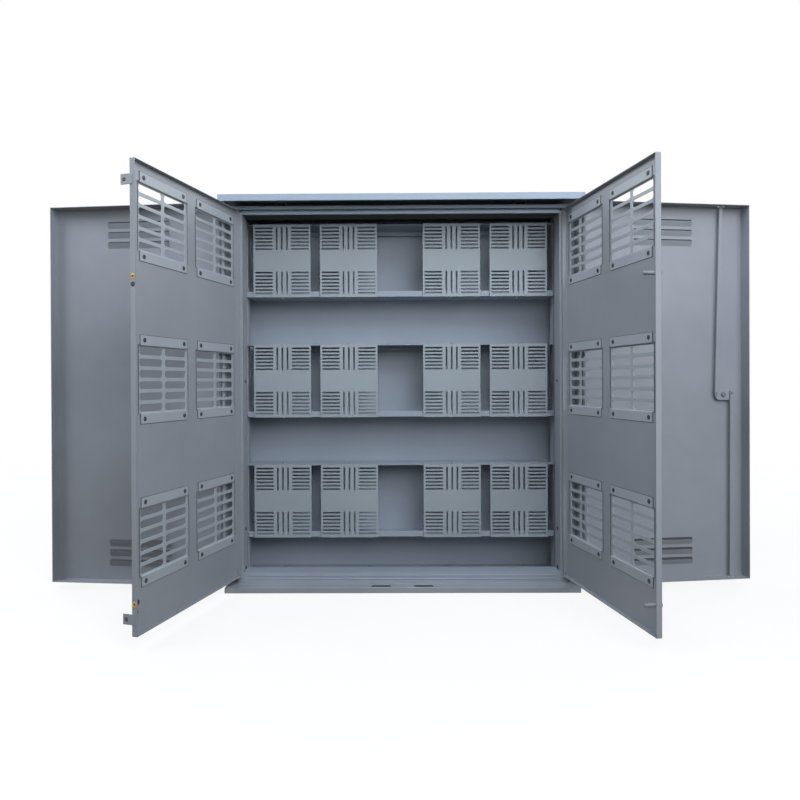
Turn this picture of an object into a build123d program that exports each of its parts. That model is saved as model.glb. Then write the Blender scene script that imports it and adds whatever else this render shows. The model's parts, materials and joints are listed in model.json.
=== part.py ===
from build123d import *
import os

# Roadside utility cabinet, millimetres, +Z up, front toward -Y.
# Z = 0 is the underside of the base, Y = 0 the front of the body frame, X = 0 the middle.

# Body
body_width = 1200.0
body_depth = 226.0
body_top = 1322.0
sheet = 2.0
liner = 1.5
base_height = 18.0
base_sheet = 3.0
door_reach = 66.0
overrun = 10.0
half_body = body_width / 2
outer_face_y = -door_reach
floor_z = base_height

# Base, anchors and gland plate
base_return = 110.0
anchor_side = 80.0
anchor_front_y = 95.0
anchor_rear = 41.0
anchor_radius = 7.0
access_radius = 14.0
keeper_play = 12.0
keeper_width = 13.0
gland_side = 280.0
gland_front_y = 85.0
gland_rear = 40.0
gland_land = 20.0
anchor_half_x = half_body - anchor_side
anchor_back_y = body_depth - anchor_rear
gland_half_x = half_body - gland_side
gland_back_y = body_depth - gland_rear

# Roof cap on two rails
roof_height = 22.0
roof_side_overhang = 17.0
roof_front_overhang = 4.0
roof_back_overhang = 20.0
roof_return = 10.0
rail_side = 180.0
rail_width = 40.0
rail_end_gap = 30.0
rail_half_x = half_body - rail_side

# Front frame
jamb_width = 52.0
header_height = 30.0
sill_height = 33.0
reveal_depth = 70.0
channel_depth = 18.0
jamb_lip = 22.0
outer_lip = 10.0
header_lip = 8.0
opening_half = half_body - jamb_width
opening_top = body_top - header_height
opening_bottom = base_height + sill_height

# Rows of vented covers
row_count = 3
row_foot = 102.0
row_gap = 173.0
row_head = 13.0
row_front = 98.0
row_lip = 20.0
row_top_fold = 18.0
row_end_tab = 36.0
row_depth = body_depth - sheet - row_front
row_height = (opening_top - opening_bottom - row_foot - row_head - (row_count - 1) * row_gap) / row_count
row_pitch = row_height + row_gap
row_first_z = opening_bottom + row_foot

# Posts that carry the rows
post_width = 48.0
post_set_back = 14.0
post_depth = 38.0
post_face = half_body - post_width
post_front = row_front + post_set_back

# Covers, two on each side of the middle
cover_middle_gap = 164.0
cover_gap = 34.0
cover_end_gap = 24.0
cover_stand = 6.0
cover_flange = 34.0
cover_width = (post_face - cover_middle_gap / 2 - cover_gap - cover_end_gap) / 2
cover_inner_x = cover_middle_gap / 2 + cover_width / 2
cover_pitch = cover_width + cover_gap
slot_rows = 7
slot_height = 6.0
slot_pitch = 12.5
slot_edge = 11.0
slot_side = 7.0
slot_middle = 68.0
slot_length = cover_width / 2 - slot_side - slot_middle / 2
upright_slots = 3
upright_slot_width = 5.5
upright_slot_pitch = 18.5
upright_slot_length = (slot_rows - 1) * slot_pitch + slot_height
screw_radius = 5.0
screw_height = 4.0
screw_sides = 6
screw_back = 16.0

# Inner doors, which fold back first inside the outer ones
inner_left_angle = 106.1
inner_right_angle = 99.1
inner_axis_out = 18.0
inner_axis_inset = 6.0
inner_seat = 2.0
inner_flange = 16.0
inner_edge = 4.0
inner_meeting_gap = 2.0
inner_foot_lap = 11.0
pivot_plate = 3.0
pivot_gap = 2.0
pivot_play = 1.0
pivot_half = 12.0
pivot_radius = 4.0
pivot_reach = 6.0
inner_face = -inner_flange - inner_seat
inner_axis_x = opening_half + inner_axis_out
inner_axis_y = inner_face + inner_axis_inset
inner_bottom = opening_bottom - inner_foot_lap
inner_top = body_top - sheet - outer_lip - pivot_play - pivot_plate - pivot_gap
inner_s0 = -inner_edge
inner_s1 = inner_axis_x - inner_meeting_gap
inner_dy = inner_face - inner_axis_y

# Windows of the inner doors and their slotted inserts
window_columns = 2
window_hinge_margin = 14.0
window_middle = 43.0
window_free_margin = 31.0
window_foot = 146.0
window_head = 50.0
window_rise = 252.0
window_margins = window_hinge_margin + window_middle + window_free_margin
window_width = (inner_s1 - inner_s0 - window_margins) / window_columns
window_bands = window_foot + window_head + (row_count - 1) * window_rise
window_height = (inner_top - inner_bottom - window_bands) / row_count
window_near = inner_s0 + window_hinge_margin + window_width / 2
window_far = window_near + window_width + window_middle
window_low_z = inner_bottom + window_foot + window_height / 2
window_pitch = window_height + window_rise
vent_strip = 28.0
vent_strip_inset = 8.0
vent_recess = 6.0
vent_play = 2.0
vent_columns = 2
vent_rows = 6
vent_edge = 4.0
vent_rib = 10.0
vent_mullion = 13.0
vent_side = 16.0
vent_lap = 6.0

# Lugs, captive screws and threaded inserts of the inner doors
lug_reach = 27.0
lug_height = 28.0
lug_hole = 4.0
lug_hole_end = 10.0
lug_head = 55.0
lug_foot = 45.0
captive_drop = 312.0
captive_foot = 85.0
captive_inset = 10.0
captive_radius = 4.0
captive_length = 46.0
captive_head = 9.0
captive_head_height = 3.0
captive_play = 0.4
insert_radius = 5.0
insert_length = 5.0
insert_collar = 7.0
insert_collar_height = 1.0
lug_top_z = inner_top - lug_head
lug_low_z = inner_bottom + lug_foot
captive_top_z = inner_top - captive_drop
captive_low_z = inner_bottom + captive_foot

# Outer doors
outer_left_angle = 185.1
outer_right_angle = 187.5
outer_axis_inset = 20.0
outer_bottom_gap = 7.0
outer_top_gap = 5.0
outer_meeting_gap = 4.0
door_gap = 4.0
knuckle_radius = 6.0
knuckle_half = 210.0
knuckle_gap = 0.5
pin_radius = 3.0
pin_play = 0.08
hinge_leaf = 3.0
hinge_leaf_back = 40.0
hinge_clearance = 1.0
hinge_end = 215.0
louvre_length = 216.0
louvre_height = 5.5
louvre_pitch = 34.5
louvre_count = 3
louvre_head = 49.0
louvre_foot = 138.0
scoop_reach = 8.0
scoop_drop = 18.0
outer_flange = door_reach + inner_face - door_gap
outer_axis_x = half_body + knuckle_radius
outer_axis_y = outer_face_y + outer_axis_inset
outer_bottom = base_height + outer_bottom_gap
outer_top = body_top - outer_top_gap
outer_s0 = outer_axis_x - half_body
outer_s1 = outer_axis_x - outer_meeting_gap
outer_dy = outer_face_y - outer_axis_y
louvre_top_z = outer_top - louvre_head
louvre_low_z = outer_bottom + louvre_foot

# Lock of the right outer door
cam_from_edge = 78.0
cam_drop = 9.0
cam_length = 58.0
cam_height = 37.0
cam_thickness = 4.0
cam_stand = 8.0
spindle_radius = 6.0
spindle_play = 0.5
rod_width = 12.0
rod_thickness = 5.0
rod_gap = 0.3
upper_rod_offset = 28.0
upper_rod_drop = 2.0
upper_rod_from_edge = 88.0
lower_rod_offset = 29.0
lower_rod_rise = 14.0
lower_rod_from_edge = 52.0
rod_end_gap = 1.0
rod_slot_length = 26.0
plate_width = 44.0
plate_height = 150.0
plate_thickness = 6.0
handle_boss = 16.0
handle_boss_height = 14.0
handle_length = 120.0
handle_width = 22.0
handle_thickness = 10.0
cam_s = outer_s1 - cam_from_edge
cam_z = (outer_bottom + outer_top) / 2 - cam_drop
upper_rod_foot_s = cam_s - upper_rod_offset
upper_rod_foot_z = cam_z - upper_rod_drop
upper_rod_head_s = outer_s1 - upper_rod_from_edge
lower_rod_head_s = cam_s + lower_rod_offset
lower_rod_head_z = cam_z + lower_rod_rise
lower_rod_foot_s = outer_s1 - lower_rod_from_edge
rod_depth = sheet + cam_stand + cam_thickness + rod_gap
keeper_near_x = outer_axis_x - lower_rod_foot_s - keeper_play
keeper_far_x = outer_axis_x - upper_rod_head_s + keeper_play

hinge_heights = [outer_bottom + hinge_end, (outer_bottom + outer_top) / 2, outer_top - hinge_end]
windows = [(s, window_low_z + k * window_pitch) for s in (window_near, window_far) for k in range(row_count)]
LOW = (Align.MIN, Align.MIN, Align.MIN)
STANDING = (Align.CENTER, Align.CENTER, Align.MIN)


def block(x0, x1, y0, y1, z0, z1):
    """Box between two corners."""
    return Pos(x0, y0, z0) * Box(x1 - x0, y1 - y0, z1 - z0, align=LOW)


def upright(x, y, z, radius, height):
    """Round bar standing on (x, y, z)."""
    return Pos(x, y, z) * Cylinder(radius, height, align=STANDING)


def along_y(x, y, z, radius, length):
    """Round bar that starts at (x, y, z) and runs toward +Y."""
    return Pos(x, y, z) * Rot(-90, 0, 0) * Cylinder(radius, length, align=STANDING)


def along_x(x, y, z, radius, length):
    """Round bar that starts at (x, y, z) and runs toward +X."""
    return Pos(x, y, z) * Rot(0, 90, 0) * Cylinder(radius, length, align=STANDING)


def pair(solid):
    """A piece and its mirror image across the middle plane."""
    return [solid, mirror(solid, about=Plane.YZ)]


def group(solids):
    """Separate solids kept as one node."""
    return Compound(children=[s for part in solids for s in part.solids()])


def save(name, shape):
    shape.label = name
    export_step(shape, os.path.join("parts", name + ".step"))


def base_frame():
    """Folded plinth: ledge and floor on top, skirts, inward returns with the anchor holes."""
    shape = block(-half_body, half_body, outer_face_y, body_depth, 0, base_height)
    shape -= block(-half_body + base_sheet, half_body - base_sheet, outer_face_y + base_sheet,
                   body_depth - base_sheet, base_sheet, base_height - base_sheet)
    shape -= block(-half_body + base_return, half_body - base_return, outer_face_y + base_return,
                   body_depth - base_return, -overrun, base_sheet + overrun)
    shape -= block(-gland_half_x + gland_land, gland_half_x - gland_land, gland_front_y + gland_land,
                   gland_back_y - gland_land, base_sheet, base_height + overrun)
    rod_y = outer_face_y + rod_depth + rod_thickness / 2
    for side in (-1, 1):
        for y in (anchor_front_y, anchor_back_y):
            shape -= upright(side * anchor_half_x, y, -overrun, anchor_radius, base_height)
            shape -= upright(side * anchor_half_x, y, base_sheet, access_radius, base_height + overrun)
        near, far = sorted((side * keeper_near_x, side * keeper_far_x))
        shape -= block(near, far, rod_y - keeper_width / 2, rod_y + keeper_width / 2, base_sheet,
                       base_height + overrun)
    return shape


def roof_cap():
    """Shallow cap with skirts all round and a narrow return under them."""
    x = half_body + roof_side_overhang
    y0 = outer_face_y - roof_front_overhang
    y1 = body_depth + roof_back_overhang
    top = body_top + roof_height
    shape = block(-x, x, y0, y1, body_top, top)
    shape -= block(-x + sheet, x - sheet, y0 + sheet, y1 - sheet, body_top + sheet, top - sheet)
    shape -= block(-x + roof_return, x - roof_return, y0 + roof_return, y1 - roof_return,
                   body_top - overrun, body_top + sheet + overrun)
    return shape


def roof_rail(side):
    """Channel between the body top and the cap."""
    x0 = side * rail_half_x - rail_width / 2
    x1 = x0 + rail_width
    top = body_top + roof_height - sheet
    shape = block(x0, x1, rail_end_gap, body_depth - rail_end_gap, body_top, top)
    shape -= block(x0 + sheet, x1 - sheet, rail_end_gap - overrun, body_depth, body_top - overrun,
                   top - sheet)
    return shape


def header_rail():
    """Top of the door frame: outer lip, gutter channel, inner lip and reveal."""
    x = half_body - sheet
    top = body_top - sheet
    shape = block(-x, x, channel_depth, channel_depth + sheet, opening_top, top)
    shape += block(-x, x, 0, sheet, top - outer_lip, top)
    shape += block(-x, x, 0, channel_depth + sheet, top - sheet, top)
    shape += block(-x, x, 0, reveal_depth, opening_top, opening_top + sheet)
    shape += block(-x, x, 0, sheet, opening_top, opening_top + header_lip)
    return shape


def sill_rail():
    """Box-folded sill between the jambs."""
    shape = block(-opening_half, opening_half, 0, reveal_depth, floor_z, opening_bottom)
    shape -= block(-half_body, half_body, sheet, reveal_depth - sheet, floor_z - overrun,
                   opening_bottom - sheet)
    return shape


def jamb():
    """Left side of the door frame, same section as the header."""
    x = half_body - sheet
    z0, z1 = floor_z, opening_top
    shape = block(-opening_half - sheet, -opening_half, 0, reveal_depth, z0, z1)
    shape += block(-opening_half - jamb_lip, -opening_half, 0, sheet, z0, z1)
    shape += block(-x, -opening_half, channel_depth, channel_depth + sheet, z0, z1)
    shape += block(-x, -x + sheet, 0, channel_depth + sheet, z0, z1)
    shape += block(-x, -x + outer_lip, 0, sheet, z0, z1)
    return shape


def post():
    """Left channel post that carries the rows."""
    x = half_body - sheet
    y1 = post_front + post_depth
    shape = block(-x, -post_face, post_front, y1, floor_z, body_top - sheet)
    shape -= block(-x - overrun, -post_face - sheet, post_front + sheet, y1 - sheet, floor_z - overrun,
                   body_top)
    return shape


def row_channel(z):
    """One folded sheet: tray with upturned lip, back and top, with end tabs on the posts."""
    x = post_face
    y0, y1 = row_front, row_front + row_depth
    top = z + row_height
    shape = block(-x, x, y0, y1, z, z + sheet)
    shape += block(-x, x, y0, y0 + sheet, z, z + row_lip)
    shape += block(-x, x, y1 - sheet, y1, z, top)
    shape += block(-x, x, y0, y1, top - sheet, top)
    for side in (-1, 1):
        near, far = sorted((side * x, side * (x - sheet)))
        shape += block(near, far, post_front, y1, z, z + row_end_tab)
    shape += block(-x, x, y1 - row_top_fold, y1 - row_top_fold + sheet, top - row_top_fold, top)
    return shape


def cover(x, z):
    """Vented box cover hooked over one row: slotted face, shallow sides, top and bottom flanges."""
    half = cover_width / 2
    y0 = row_front - cover_stand
    low, top = z - liner, z + row_height + liner
    shape = block(x - half, x + half, y0, y0 + liner, low, top)
    shape += block(x - half, x + half, y0, row_front + cover_flange, low, z)
    shape += block(x - half, x + half, y0, row_front + cover_flange, z + row_height, top)
    for side in (-1, 1):
        near, far = sorted((x + side * half, x + side * (half - liner)))
        shape += block(near, far, y0, row_front - liner / 2, low, top)
    cuts = []
    back = y0 + liner + overrun
    bottoms = []
    for k in range(slot_rows):
        bottoms.append(low + slot_edge + k * slot_pitch)
        bottoms.append(top - slot_edge - slot_height - k * slot_pitch)
    for b in bottoms:
        left = x - half + slot_side
        right = x + half - slot_side - slot_length
        cuts.append(block(left, left + slot_length, y0 - overrun, back, b, b + slot_height))
        cuts.append(block(right, right + slot_length, y0 - overrun, back, b, b + slot_height))
    first = x - (upright_slots - 1) / 2 * upright_slot_pitch - upright_slot_width / 2
    for k in range(upright_slots):
        left = first + k * upright_slot_pitch
        for b in (low + slot_edge, top - slot_edge - upright_slot_length):
            cuts.append(block(left, left + upright_slot_width, y0 - overrun, back, b,
                              b + upright_slot_length))
    return shape.cut(*cuts)


def cover_screws(places):
    """Hexagon heads above and below every cover."""
    y = row_front + screw_back
    heads = []
    for x, z in places:
        for foot in (z - liner - screw_height, z + row_height + liner):
            heads.append(Pos(x, y, foot) * extrude(RegularPolygon(screw_radius, screw_sides), screw_height))
    return group(heads)


def pan(s0, s1, z0, z1, thick, depth):
    """Open tray: face at y = 0 and a flange toward +Y on all four edges."""
    shape = block(s0, s1, 0, depth, z0, z1)
    return shape - block(s0 + thick, s1 - thick, thick, depth + overrun, z0 + thick, z1 - thick)


def louvre_scoop(left, right, z1):
    """Louvre pressed inward: a plate that slopes in and up to the gap at z1, with a wall at each end."""
    z0 = z1 - scoop_drop
    y1 = sheet + scoop_reach
    plate = Polyline((0, z0), (sheet, z0), (y1, z1), (scoop_reach, z1), close=True)
    wall = Polyline((0, z0), (sheet, z0), (y1, z1), (0, z1), close=True)
    shape = Pos(left, 0, 0) * extrude(make_face(Plane.YZ * plate), right - left, dir=(1, 0, 0))
    for x in (left, right - liner):
        shape += Pos(x, 0, 0) * extrude(make_face(Plane.YZ * wall), liner, dir=(1, 0, 0))
    return shape


def outer_leaf():
    """Outer door closed on the left: axis at the origin, leaf along +X, outer face at y = outer_dy."""
    shape = pan(outer_s0, outer_s1, outer_bottom, outer_top, sheet, outer_flange)
    middle = (outer_s0 + outer_s1) / 2
    left, right = middle - louvre_length / 2, middle + louvre_length / 2
    for start in (louvre_top_z, louvre_low_z):
        for k in range(louvre_count):
            z = start - k * louvre_pitch
            shape -= block(left, right, -overrun / 2, sheet + overrun / 2, z - louvre_height / 2 - scoop_drop,
                           z + louvre_height / 2)
            shape += louvre_scoop(left, right, z - louvre_height / 2)
    shape = Pos(0, outer_dy, 0) * shape
    for z in hinge_heights:
        barrel = upright(0, 0, z + knuckle_gap, knuckle_radius, knuckle_half)
        barrel += block(outer_s0 - hinge_leaf, outer_s0, outer_dy + sheet, 0, z + knuckle_gap,
                        z + knuckle_gap + knuckle_half)
        barrel -= upright(0, 0, z, pin_radius + pin_play, knuckle_half + overrun)
        shape += barrel
    return shape


def hinge_fixed():
    """Left body half of the outer hinge: full-height leaf on the side panel, lower barrels and pins."""
    x0 = -half_body - hinge_leaf
    y0 = outer_axis_y + knuckle_radius + hinge_clearance
    shape = block(x0, -half_body, y0, hinge_leaf_back, outer_bottom, outer_top)
    for z in hinge_heights:
        shape += upright(-outer_axis_x, outer_axis_y, z - knuckle_half, knuckle_radius, knuckle_half)
        shape += block(x0, -half_body, outer_axis_y, hinge_leaf_back, z - knuckle_half, z)
        pin_length = knuckle_half + knuckle_half
        shape += upright(-outer_axis_x, outer_axis_y, z - knuckle_half, pin_radius, pin_length)
    return shape


def place_outer(shape, side, angle):
    """Turn a closed left-hand leaf piece open, and mirror it for the right."""
    turned = Pos(-outer_axis_x, outer_axis_y, 0) * Rot(0, 0, -angle) * shape
    return turned if side < 0 else mirror(turned, about=Plane.YZ)


def inner_leaf():
    """Inner vented door seen closed on the left, with six windows and pivot holes."""
    shape = pan(inner_s0, inner_s1, inner_bottom, inner_top, liner, inner_flange)
    for s, z in windows:
        shape -= block(s - window_width / 2, s + window_width / 2, -overrun, liner + overrun / 2,
                       z - window_height / 2, z + window_height / 2)
    shape = Pos(0, inner_dy, 0) * shape
    for z in (inner_bottom - overrun, inner_top - overrun):
        shape -= upright(0, 0, z, pivot_radius + pin_play, overrun + overrun)
    return shape


def lug(z):
    """Lug with a hole, standing off the outer face at the free edge of the left leaf."""
    y0 = inner_dy - lug_reach
    half = lug_height / 2
    shape = block(inner_s1, inner_s1 + liner, y0, inner_dy + inner_flange / 2, z - half, z + half)
    shape -= along_x(inner_s1 - overrun, y0 + lug_hole_end, z, lug_hole, overrun + overrun)
    return shape


def vent_insert(s, z):
    """Slotted panel set back in a window, with screw strips over the sheet above and below it."""
    half_w = window_width / 2 + vent_lap
    half_h = window_height / 2
    face = inner_dy + liner
    back = face - vent_recess
    strip = window_width / 2 - vent_strip_inset
    shape = block(s - half_w, s + half_w, back, back + liner, z - half_h + vent_play, z + half_h - vent_play)
    for side in (-1, 1):
        edge = z + side * (half_h - vent_play)
        low, high = sorted((edge, edge - side * liner))
        shape += block(s - strip, s + strip, back, face + liner, low, high)
        low, high = sorted((edge - side * liner, edge + side * vent_strip))
        shape += block(s - strip, s + strip, face, face + liner, low, high)
    cell_w = (half_w + half_w - vent_side - vent_side - vent_mullion) / vent_columns
    low = z - half_h + vent_play + vent_edge
    cell_h = (z + z - low - low - (vent_rows - 1) * vent_rib) / vent_rows
    cuts = []
    for c in range(vent_columns):
        left = s - half_w + vent_side + c * (cell_w + vent_mullion)
        for r in range(vent_rows):
            foot = low + r * (cell_h + vent_rib)
            cuts.append(block(left, left + cell_w, back - overrun, back + liner + overrun, foot,
                              foot + cell_h))
    return shape.cut(*cuts)


def captive_screw(z):
    """Captive screw of the right leaf: knob outside, shank through the sheet."""
    s = inner_s1 - captive_inset
    shape = along_y(s, inner_dy - captive_head_height, z, captive_head, captive_head_height)
    shape += along_y(s, inner_dy, z, captive_radius, captive_length)
    return shape


def threaded_insert(z):
    """Threaded insert through the free-edge flange of the left leaf, with a collar on its outside."""
    y = inner_dy + inner_flange / 2
    shape = along_x(inner_s1 - liner - insert_length, y, z, insert_radius, insert_length + liner)
    shape += along_x(inner_s1, y, z, insert_collar, insert_collar_height)
    return shape


def pivot_brackets():
    """Left fixed pivots of the inner leaf: a tongue and a pin at the bottom and at the top."""
    x0, x1 = -inner_axis_x - pivot_half, -inner_axis_x + pivot_half
    y0 = inner_axis_y - pivot_reach
    low = inner_bottom - pivot_gap
    foot = block(x0, x1, y0, 0, low - pivot_plate, low)
    rise = pivot_gap + overrun / 2
    foot += upright(-inner_axis_x, inner_axis_y, low - pivot_plate, pivot_radius, pivot_plate + rise)
    high = inner_top + pivot_gap
    head = block(x0, x1, y0, channel_depth, high, high + pivot_plate)
    head += upright(-inner_axis_x, inner_axis_y, high - rise, pivot_radius, rise + pivot_plate)
    return [foot, head]


def place_inner(shape, side, angle):
    """Turn a closed left-hand inner piece open, and mirror it for the right."""
    turned = Pos(-inner_axis_x, inner_axis_y, 0) * Rot(0, 0, -angle) * shape
    return turned if side < 0 else mirror(turned, about=Plane.YZ)


def rod(s0, z0, s1, z1, run0, run1):
    """Flat lock rod from (s0, z0) toward (s1, z1), cut level between heights run0 and run1."""
    y = outer_dy + rod_depth
    lean = (s1 - s0) / (z1 - z0)
    foot = s0 + lean * (run0 - z0)
    head = s0 + lean * (run1 - z0)
    half = rod_width / 2
    ends = ((foot - half, run0), (foot + half, run0), (head + half, run1), (head - half, run1))
    outline = Polyline(*ends, close=True)
    face = make_face(Plane.XZ * outline)
    return Pos(0, y, 0) * extrude(face, rod_thickness, dir=(0, 1, 0))


def lock_cam():
    """Cam plate with rounded end and its spindle through the door."""
    y = outer_dy + sheet + cam_stand
    half_s, half_z = cam_length / 2, cam_height / 2
    shape = block(cam_s - half_s, cam_s + half_s, y, y + cam_thickness, cam_z - half_z, cam_z + half_z)
    shape = chamfer(shape.edges().filter_by(Axis.Y), half_z / 2)
    spindle_length = plate_thickness + sheet + cam_stand
    shape += along_y(cam_s, outer_dy - plate_thickness, cam_z, spindle_radius, spindle_length)
    return shape


def lock_handle():
    """Outside lever on the same spindle, hanging down when locked and level when free."""
    y1 = outer_dy - plate_thickness
    y0 = y1 - handle_boss_height
    shape = along_y(cam_s, y0, cam_z, handle_boss, handle_boss_height)
    shape += block(cam_s - handle_length, cam_s, y0, y0 + handle_thickness, cam_z - handle_width / 2,
                   cam_z + handle_width / 2)
    return shape


def lock_plate():
    """Plate under the outside lever."""
    y0 = outer_dy - plate_thickness
    shape = block(cam_s - plate_width / 2, cam_s + plate_width / 2, y0, outer_dy, cam_z - plate_height / 2,
                  cam_z + plate_height / 2)
    bore_length = overrun + plate_thickness + overrun
    return shape - along_y(cam_s, y0 - overrun, cam_z, spindle_radius + spindle_play, bore_length)


os.makedirs("parts", exist_ok=True)

save("base_frame", base_frame())
save("gland_plate", block(-gland_half_x, gland_half_x, gland_front_y, gland_back_y, floor_z, floor_z + sheet))
left_side = block(-half_body, -half_body + sheet, 0, body_depth, floor_z, body_top - sheet)
save("left_side_panel", left_side)
save("right_side_panel", mirror(left_side, about=Plane.YZ))
rear = block(-half_body + sheet, half_body - sheet, body_depth - sheet, body_depth, floor_z, body_top - sheet)
save("rear_panel", rear)
save("top_panel", block(-half_body, half_body, 0, body_depth, body_top - sheet, body_top))
save("roof_cap", roof_cap())
save("roof_rails", group([roof_rail(-1), roof_rail(1)]))
save("header_rail", header_rail())
save("sill_rail", sill_rail())
for side_name, piece in zip(("left", "right"), pair(jamb())):
    save(side_name + "_jamb", piece)
for side_name, piece in zip(("left", "right"), pair(post())):
    save(side_name + "_post", piece)

row_names = ("low", "middle", "high")
cover_xs = (-cover_inner_x - cover_pitch, -cover_inner_x, cover_inner_x, cover_inner_x + cover_pitch)
cover_names = ("far_left", "left", "right", "far_right")
cover_places = []
for k in range(row_count):
    z = row_first_z + k * row_pitch
    save(row_names[k] + "_row_channel", row_channel(z))
    for x, side_name in zip(cover_xs, cover_names):
        save(row_names[k] + "_" + side_name + "_cover", cover(x, z))
        cover_places.append((x, z))
save("cover_screws", cover_screws(cover_places))

save("outer_hinge_pins", group(pair(hinge_fixed())))
brackets = [piece for bracket in pivot_brackets() for piece in pair(bracket)]
save("inner_pivot_brackets", group(brackets))

leaf = outer_leaf()
save("left_outer_door", place_outer(leaf, -1, outer_left_angle))
rod_top_z = outer_top - rod_end_gap
rod_low_z = outer_bottom + rod_end_gap
upper = (upper_rod_foot_s, upper_rod_foot_z, upper_rod_head_s, outer_top)
lower = (lower_rod_foot_s, outer_bottom, lower_rod_head_s, lower_rod_head_z)
locked = leaf
rod_mid_y = outer_dy + rod_depth + rod_thickness / 2
for s, z in ((upper_rod_head_s, outer_top), (lower_rod_foot_s, outer_bottom)):
    locked -= block(s - rod_slot_length / 2, s + rod_slot_length / 2, rod_mid_y - rod_thickness,
                    rod_mid_y + rod_thickness, z - overrun, z + overrun)
locked -= along_y(cam_s, outer_dy - overrun, cam_z, spindle_radius + spindle_play, overrun + overrun)
save("right_outer_door", place_outer(locked, 1, outer_right_angle))
save("upper_lock_rod", place_outer(rod(*upper, upper_rod_foot_z, rod_top_z), 1, outer_right_angle))
save("lower_lock_rod", place_outer(rod(*lower, rod_low_z, lower_rod_head_z), 1, outer_right_angle))
save("lock_cam", place_outer(lock_cam(), 1, outer_right_angle))
save("lock_handle", place_outer(lock_handle(), 1, outer_right_angle))
save("lock_plate", place_outer(lock_plate(), 1, outer_right_angle))

inner = inner_leaf()
left_inner = inner
for z in (lug_top_z, lug_low_z):
    left_inner += lug(z)
for z in (captive_low_z, captive_top_z):
    left_inner -= along_x(inner_s1 - overrun / 2, inner_dy + inner_flange / 2, z, insert_radius, overrun)
save("left_inner_door", place_inner(left_inner, -1, inner_left_angle))
right_inner = inner
for z in (captive_low_z, captive_top_z):
    right_inner -= along_y(inner_s1 - captive_inset, inner_dy - overrun, z, captive_radius + captive_play,
                           overrun + overrun)
save("right_inner_door", place_inner(right_inner, 1, inner_right_angle))
captives = [place_inner(captive_screw(z), 1, inner_right_angle) for z in (captive_low_z, captive_top_z)]
save("captive_screws", group(captives))
threads = [place_inner(threaded_insert(z), -1, inner_left_angle) for z in (captive_low_z, captive_top_z)]
save("threaded_inserts", group(threads))
for side, side_name, angle in ((-1, "left", inner_left_angle), (1, "right", inner_right_angle)):
    for k, (s, z) in enumerate(windows):
        column = "near" if s == window_near else "far"
        save(side_name + "_" + column + "_" + row_names[k % row_count] + "_vent",
             place_inner(vent_insert(s, z), side, angle))
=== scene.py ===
import bpy
import json
import numpy as np
from mathutils import Matrix


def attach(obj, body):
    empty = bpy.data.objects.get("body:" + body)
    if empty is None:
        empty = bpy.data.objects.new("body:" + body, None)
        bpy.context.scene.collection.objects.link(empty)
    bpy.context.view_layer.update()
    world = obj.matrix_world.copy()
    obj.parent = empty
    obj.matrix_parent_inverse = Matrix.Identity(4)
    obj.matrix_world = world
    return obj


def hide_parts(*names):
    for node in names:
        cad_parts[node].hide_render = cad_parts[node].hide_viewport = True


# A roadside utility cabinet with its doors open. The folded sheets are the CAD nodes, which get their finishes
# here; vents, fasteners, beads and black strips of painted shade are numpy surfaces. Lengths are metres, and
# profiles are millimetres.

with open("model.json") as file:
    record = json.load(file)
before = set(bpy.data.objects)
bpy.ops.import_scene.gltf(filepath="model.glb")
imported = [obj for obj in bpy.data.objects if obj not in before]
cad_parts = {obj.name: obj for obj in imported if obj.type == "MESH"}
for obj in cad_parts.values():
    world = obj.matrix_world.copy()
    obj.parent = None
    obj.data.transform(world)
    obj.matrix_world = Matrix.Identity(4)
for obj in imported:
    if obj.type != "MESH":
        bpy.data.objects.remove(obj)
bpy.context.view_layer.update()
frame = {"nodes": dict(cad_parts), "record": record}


# ---------------------------------------------------------------- sizes of the cabinet

MM = 0.001
RIGHT, REAR, UP = np.eye(3)
SHEET = 0.0015                          # sheet of the vents and of the rows of covers
BASE_TOP = 0.018                        # floor and ledge of the base

# leaves: x and y of the hinge line, and how far each leaf stands open, in degrees
INNER = {"x": 0.566, "y": -0.012, "left": 106.1, "right": 99.1}
OUTER = {"x": 0.606, "y": -0.046, "left": 185.1, "right": 187.5}

# door places are s along the leaf from its hinge, t inward through it, and z up
LEAF_T = -0.0045                        # inward face of an inner leaf
FLANGE_S, FLANGE_T = 0.564, 0.002       # middle of the flange at its free edge
CATCH_Z = (0.125, 0.992)                # threaded inserts on the left leaf, captive screws on the right

# windows of the inner leaves, each with a vent: a slotted panel between two folded strips
WINDOW_S = {"near": 0.130, "far": 0.413}
WINDOW_Z = {"low": 0.280, "middle": 0.720, "high": 1.160}
WINDOW_HALF = (0.120, 0.094)
PANEL_HALF = (0.126, 0.098)
PANEL_T = -0.00975
PANEL_SLOTS = {"columns": 2, "rows": 6, "side_land": 0.016, "mullion": 0.013, "end_land": 0.010, "rib": 0.010,
               "corner": 0.0075}
STRIP_HALF = 0.112
STRIP_REACH = 0.028
STRIP_BEND = 0.002
STRIP_Z = 0.092
STRIP_T = -0.00375
SCREW_S, SCREW_Z = 0.095, 0.107         # screws of a vent, from the middle of its window
SHADE_LINE_EDGE = 0.0022                      # how far a black line of painted shade shows beside its strip
SHADE_LINE_RISE = 0.0006                      # how far it stands over the leaf
SHADE_LINE_SINK = 0.0003                      # and how far it goes into it

# box covers: their middles, the feet of the three rows, and the line of the bolts
COVER_X = (-0.425, -0.185, 0.185, 0.425)
ROW_FOOT = (0.153, 0.586, 1.019)
ROW_HEIGHT = 0.260
BOLT_Y = 0.114

# louvres of the outer doors: the highest of each group, their spacing and their two ends
LOUVRE_Z = (1.268, 0.163)
LOUVRE_PITCH = 0.0345
LOUVRE_COUNT = 3
LOUVRE_S = (0.1965, 0.4115)


# ---------------------------------------------------------------- numpy surfaces

QUARTER = 5                             # points on a quarter circle
BEAD_SIDES = 12                         # points round a bead
WELD = 1e-5                             # points nearer than this are one


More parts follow.
